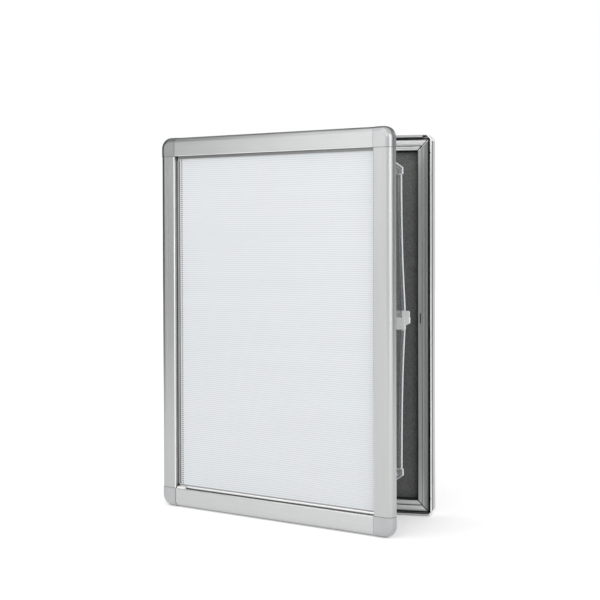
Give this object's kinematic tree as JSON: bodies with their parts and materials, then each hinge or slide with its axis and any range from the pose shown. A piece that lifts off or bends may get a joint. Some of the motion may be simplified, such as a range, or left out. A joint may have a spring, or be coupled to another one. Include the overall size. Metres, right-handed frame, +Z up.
{
  "type": "poster case",
  "caption": "Shallow poster display case with a hinged aluminium door, a fluted translucent panel, a felt pin board and a clear inner cover with a latch.",
  "frame": {"origin": "underside of the case's bottom profile at its mid width and mid depth", "axes": "+Z up the case, the front with the door faces -Y, the back +Y, X across the case"},
  "size_m": [0.348, 0.1505, 0.47],
  "materials": {
    "silver": "satin anodised",
    "corner_plastic": "silver-grey moulded",
    "steel": "zinc plated",
    "felt": "dark grey speckled felt",
    "seal": "matte black",
    "fluted": "translucent twin-wall",
    "clear_plastic": "clear",
    "white_plastic": "white moulded"
  },
  "bodies": {
    "case": {"case_top_profile": "silver", "case_bottom_profile": "silver", "case_left_profile": "silver", "case_right_profile": "silver", "back_panel": "silver", "case_corner_keys": "silver", "felt_board": "felt", "felt_gasket": "seal", "upper_hinge_case_leaf": "steel", "lower_hinge_case_leaf": "steel", "upper_hinge_pin": "steel", "lower_hinge_pin": "steel", "case_hinge_rivets": "steel", "cover_hinge_brackets": "white_plastic", "cover_bracket_screws": "steel"},
    "door": {"door_top_profile": "silver", "door_bottom_profile": "silver", "door_left_profile": "silver", "door_right_profile": "silver", "door_corner_top_left": "corner_plastic", "door_corner_top_right": "corner_plastic", "door_corner_bottom_left": "corner_plastic", "door_corner_bottom_right": "corner_plastic", "door_corner_screws": "steel", "upper_hinge_door_leaf": "steel", "lower_hinge_door_leaf": "steel", "door_hinge_rivets": "steel", "glazing_seal": "seal", "fluted_panel": "fluted", "panel_wedge": "white_plastic"},
    "cover": {"cover_sheet": "clear_plastic", "cover_hinge_strip": "clear_plastic", "cover_upper_edge_strip": "clear_plastic", "cover_lower_edge_strip": "clear_plastic", "cover_clip_top": "clear_plastic", "cover_clip_bottom": "clear_plastic", "latch_front_plate": "white_plastic", "latch_tongue": "white_plastic"}
  },
  "joints": [
    {"name": "door_swing", "type": "hinge", "parent": "case", "child": "door", "pos_m": [-0.174, -0.0079, 0.234], "axis": [0, 0, -1], "range_deg": [-20.4, 99.6]},
    {"name": "cover_swing", "type": "hinge", "parent": "case", "child": "cover", "pos_m": [-0.15, -0.0078, 0.243], "axis": [0, 0, -1], "range_deg": [-10.2, 49.8]}
  ],
  "couplings": [
    {"joint": "cover_swing", "follows": "door_swing", "ratio": 0.5}
  ]
}
